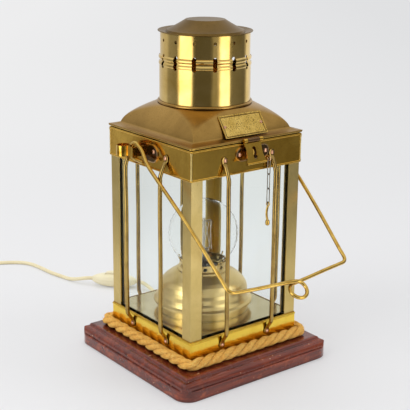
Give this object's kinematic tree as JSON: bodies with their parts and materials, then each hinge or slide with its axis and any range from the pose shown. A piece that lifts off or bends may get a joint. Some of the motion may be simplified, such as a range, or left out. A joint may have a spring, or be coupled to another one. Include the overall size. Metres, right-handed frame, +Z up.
{
  "type": "cargo light",
  "caption": "Square brass ship's lantern on a moulded wooden base: hinged hood with chimney, glass panes, guard rods, bail, hasp and chain, font with bulb, mains cord.",
  "frame": {"origin": "middle of the underside of the wooden base", "axes": "+Z up, -Y towards the front with the name plate and hasp, +X to the right of the front"},
  "size_m": [0.2937, 0.6208, 0.3912],
  "materials": {
    "wood": "glossy dark red-brown varnish, worn to orange red at edges",
    "dark_metal": "dull dark paint",
    "steel": "dull, slightly stained",
    "rope": "three-strand natural fibre",
    "bright_brass": "polished, mirror-like",
    "grey_metal": "semi-gloss grey",
    "brass": "polished, lightly tarnished",
    "wire_brass": "polished wire",
    "aged_brass": "matte, olive brown with age",
    "dark_brass": "dark, tarnished",
    "plate_brass": "stippled ground, bare",
    "font_brass": "spun, soft gloss",
    "copper": "copper rivet heads, worn bright",
    "pane_glass": "clear flat glass",
    "bulb_glass": "clear blown glass",
    "filament": "stem and filament wires",
    "porcelain": "glazed off-white",
    "cap_metal": "screw shell",
    "cord_plastic": "cream sheath",
    "cream_plastic": "cream moulding"
  },
  "bodies": {
    "lantern": {"wooden_base": "wood", "base_cover": "dark_metal", "wood_screws": "steel", "rope_trim": "rope", "tray": "bright_brass", "floor_plate": "grey_metal", "front_left_post": "brass", "front_right_post": "brass", "back_left_post": "brass", "back_right_post": "brass", "front_glass": "pane_glass", "back_glass": "pane_glass", "left_glass": "pane_glass", "right_glass": "pane_glass", "upper_band": "brass", "front_rod_left": "brass", "front_rod_right": "brass", "back_rod_left": "brass", "back_rod_right": "brass", "left_rod_front": "brass", "left_rod_back": "brass", "right_rod_front": "brass", "right_rod_back": "brass", "copper_rivets": "copper", "left_bracket": "brass", "right_bracket": "brass", "staple_plate": "dark_brass", "staple": "wire_brass", "hinge_leaf": "dark_brass", "font": "font_brass", "burner_gallery": "font_brass", "lamp_holder": "porcelain", "bulb_cap": "cap_metal", "bulb_glass": "bulb_glass", "bulb_filament": "filament", "threaded_tube": "steel", "lock_nuts": "steel", "inner_leads": "cord_plastic", "cord_bush": "cord_plastic", "cord_lead": "cord_plastic", "cord_switch": "cream_plastic", "cord_run": "cord_plastic", "cord_coil": "cord_plastic", "mains_plug": "cream_plastic"},
    "hood": {"hood": "aged_brass", "hood_flange": "dark_brass", "hood_leaf": "dark_brass", "hinge_pin": "brass", "hasp_leaf": "dark_brass", "hasp_pin": "brass", "chimney_ring": "aged_brass", "chimney": "brass", "cap": "aged_brass", "name_plate": "plate_brass", "plate_rivets": "copper"},
    "hasp": {"hasp": "brass"},
    "bail": {"bail": "wire_brass"},
    "chain": {"chain": "steel"},
    "locking_pin": {"locking_pin": "wire_brass"},
    "switch_rocker": {"switch_rocker": "cream_plastic"}
  },
  "joints": [
    {"name": "hood_tilt", "type": "hinge", "parent": "lantern", "child": "hood", "pos_m": [0, 0.0806, 0.2704], "axis": [-1, 0, 0], "range_deg": [0, 105]},
    {"name": "hasp_swing", "type": "hinge", "parent": "hood", "child": "hasp", "pos_m": [0.003, -0.0806, 0.2704], "axis": [-1, 0, 0], "range_deg": [-20, 160]},
    {"name": "bail_swing", "type": "hinge", "parent": "lantern", "child": "bail", "pos_m": [0, 0.0077, 0.2536], "axis": [-1, 0, 0], "range_deg": [-21, 129.6]},
    {"name": "chain_swing", "type": "hinge", "parent": "lantern", "child": "chain", "pos_m": [0.0273, -0.0802, 0.2456], "axis": [-1, 0, 0], "range_deg": [0, 80]},
    {"name": "pin_swing", "type": "hinge", "parent": "chain", "child": "locking_pin", "pos_m": [0.0273, -0.0802, 0.195], "axis": [-1, 0, 0], "range_deg": [0, 120]},
    {"name": "rocker_tilt", "type": "hinge", "parent": "lantern", "child": "switch_rocker", "pos_m": [0.02412, 0.23867, 0.016], "axis": [-0.7373, -0.6756, 0], "range_deg": [-14, 0]}
  ]
}
